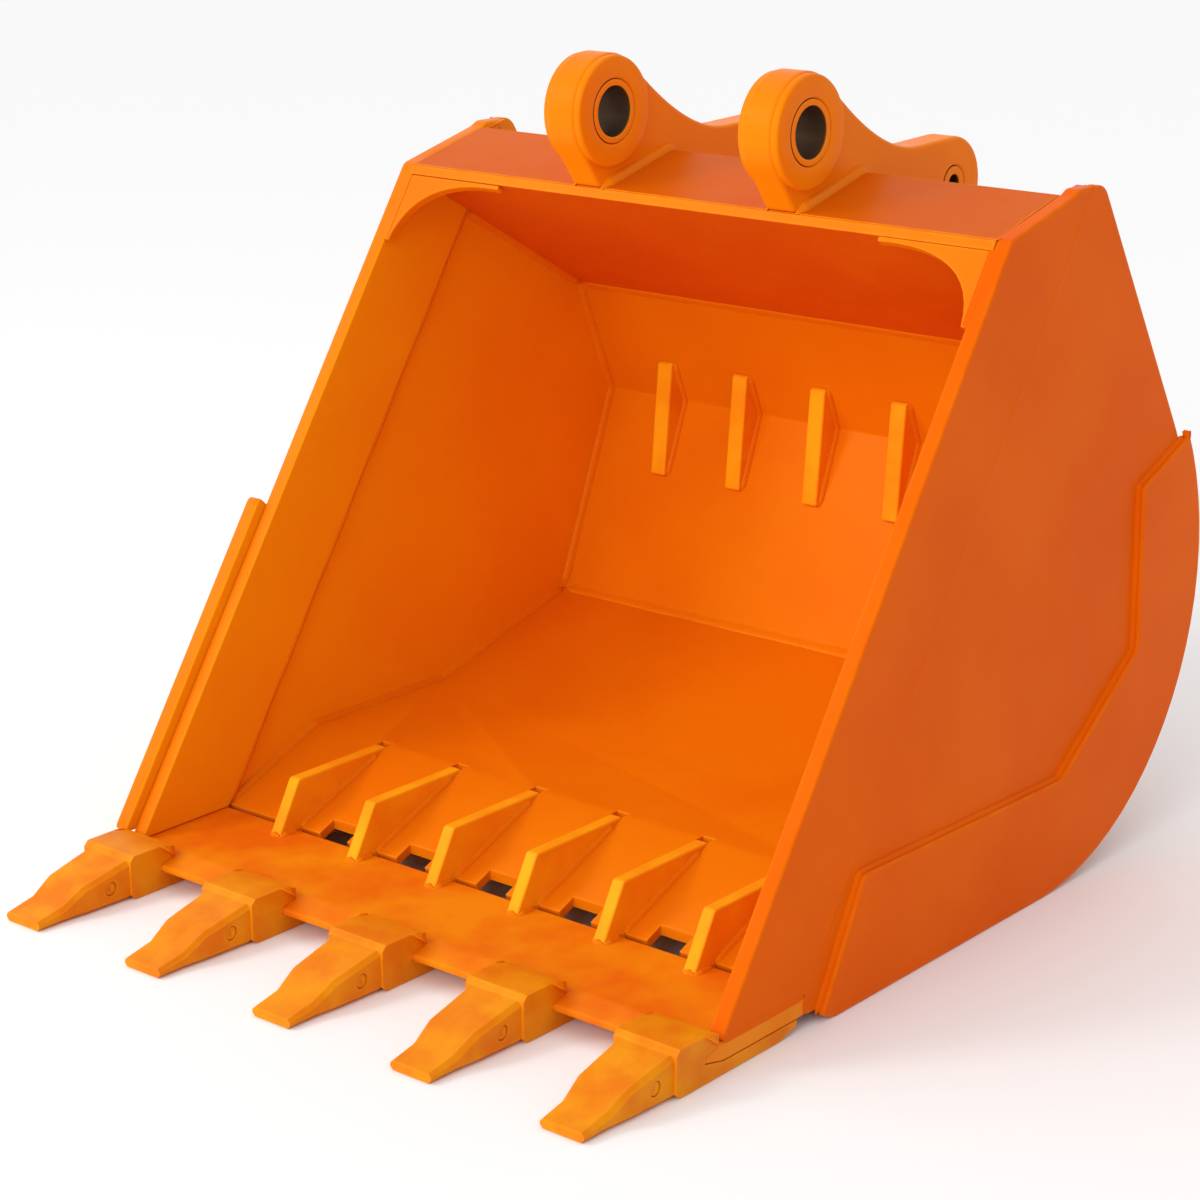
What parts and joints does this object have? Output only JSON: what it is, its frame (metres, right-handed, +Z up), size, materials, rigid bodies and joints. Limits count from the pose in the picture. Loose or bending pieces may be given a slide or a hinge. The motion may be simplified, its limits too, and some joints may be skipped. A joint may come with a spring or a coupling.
{
  "type": "excavator bucket",
  "caption": "Digging bucket for an excavator: welded shell with a cutting lip, pinned teeth on adapters, ribs, wear plates and a pair of hinge ears.",
  "frame": {"origin": "centre of the part's box on the ground plane that the heel wear plates stand on", "axes": "+Z up, -Y out of the mouth along the teeth, +X to the right-hand side looking along +Y"},
  "size_m": [1.2186, 1.5255, 1.2579],
  "materials": {
    "orange_paint": "gloss",
    "tooth_paint": "gloss",
    "pin_steel": "satin"
  },
  "bodies": {
    "bucket": {"side_plate_left": "orange_paint", "side_bar_left": "orange_paint", "heel_wear_plate_left": "orange_paint", "corner_gusset_left": "orange_paint", "ear_left": "orange_paint", "pin_bush_left": "pin_steel", "link_bush_left": "pin_steel", "side_plate_right": "orange_paint", "side_bar_right": "orange_paint", "heel_wear_plate_right": "orange_paint", "corner_gusset_right": "orange_paint", "ear_right": "orange_paint", "pin_bush_right": "pin_steel", "link_bush_right": "pin_steel", "side_cutter_left": "orange_paint", "lip_plate": "orange_paint", "floor_plate": "orange_paint", "back_plate": "orange_paint", "torque_tube_plate": "orange_paint", "top_plate": "orange_paint", "floor_rib_1": "orange_paint", "heel_rib_1": "orange_paint", "back_finger_1": "orange_paint", "floor_rib_2": "orange_paint", "heel_rib_2": "orange_paint", "back_finger_2": "orange_paint", "floor_rib_3": "orange_paint", "heel_rib_3": "orange_paint", "back_finger_3": "orange_paint", "floor_rib_4": "orange_paint", "heel_rib_4": "orange_paint", "back_finger_4": "orange_paint", "floor_rib_5": "orange_paint", "heel_rib_5": "orange_paint", "back_finger_5": "orange_paint", "floor_rib_6": "orange_paint", "heel_rib_6": "orange_paint", "back_finger_6": "orange_paint", "adapter_1": "tooth_paint", "tooth_point_1": "tooth_paint", "retainer_ring_1": "pin_steel", "adapter_2": "tooth_paint", "tooth_point_2": "tooth_paint", "retainer_ring_2": "pin_steel", "adapter_3": "tooth_paint", "tooth_point_3": "tooth_paint", "retainer_ring_3": "pin_steel", "adapter_4": "tooth_paint", "tooth_point_4": "tooth_paint", "retainer_ring_4": "pin_steel", "adapter_5": "tooth_paint", "tooth_point_5": "tooth_paint", "retainer_ring_5": "pin_steel"},
    "pin_1": {"tooth_pin_1": "pin_steel"},
    "pin_2": {"tooth_pin_2": "pin_steel"},
    "pin_3": {"tooth_pin_3": "pin_steel"},
    "pin_4": {"tooth_pin_4": "pin_steel"},
    "pin_5": {"tooth_pin_5": "pin_steel"}
  },
  "joints": [
    {"name": "pin_1_drive_out", "type": "slide", "parent": "bucket", "child": "pin_1", "axis": [1, 0, 0], "range_m": [0, 0.11]},
    {"name": "pin_2_drive_out", "type": "slide", "parent": "bucket", "child": "pin_2", "axis": [1, 0, 0], "range_m": [0, 0.11]},
    {"name": "pin_3_drive_out", "type": "slide", "parent": "bucket", "child": "pin_3", "axis": [1, 0, 0], "range_m": [0, 0.11]},
    {"name": "pin_4_drive_out", "type": "slide", "parent": "bucket", "child": "pin_4", "axis": [1, 0, 0], "range_m": [0, 0.11]},
    {"name": "pin_5_drive_out", "type": "slide", "parent": "bucket", "child": "pin_5", "axis": [1, 0, 0], "range_m": [0, 0.11]}
  ]
}
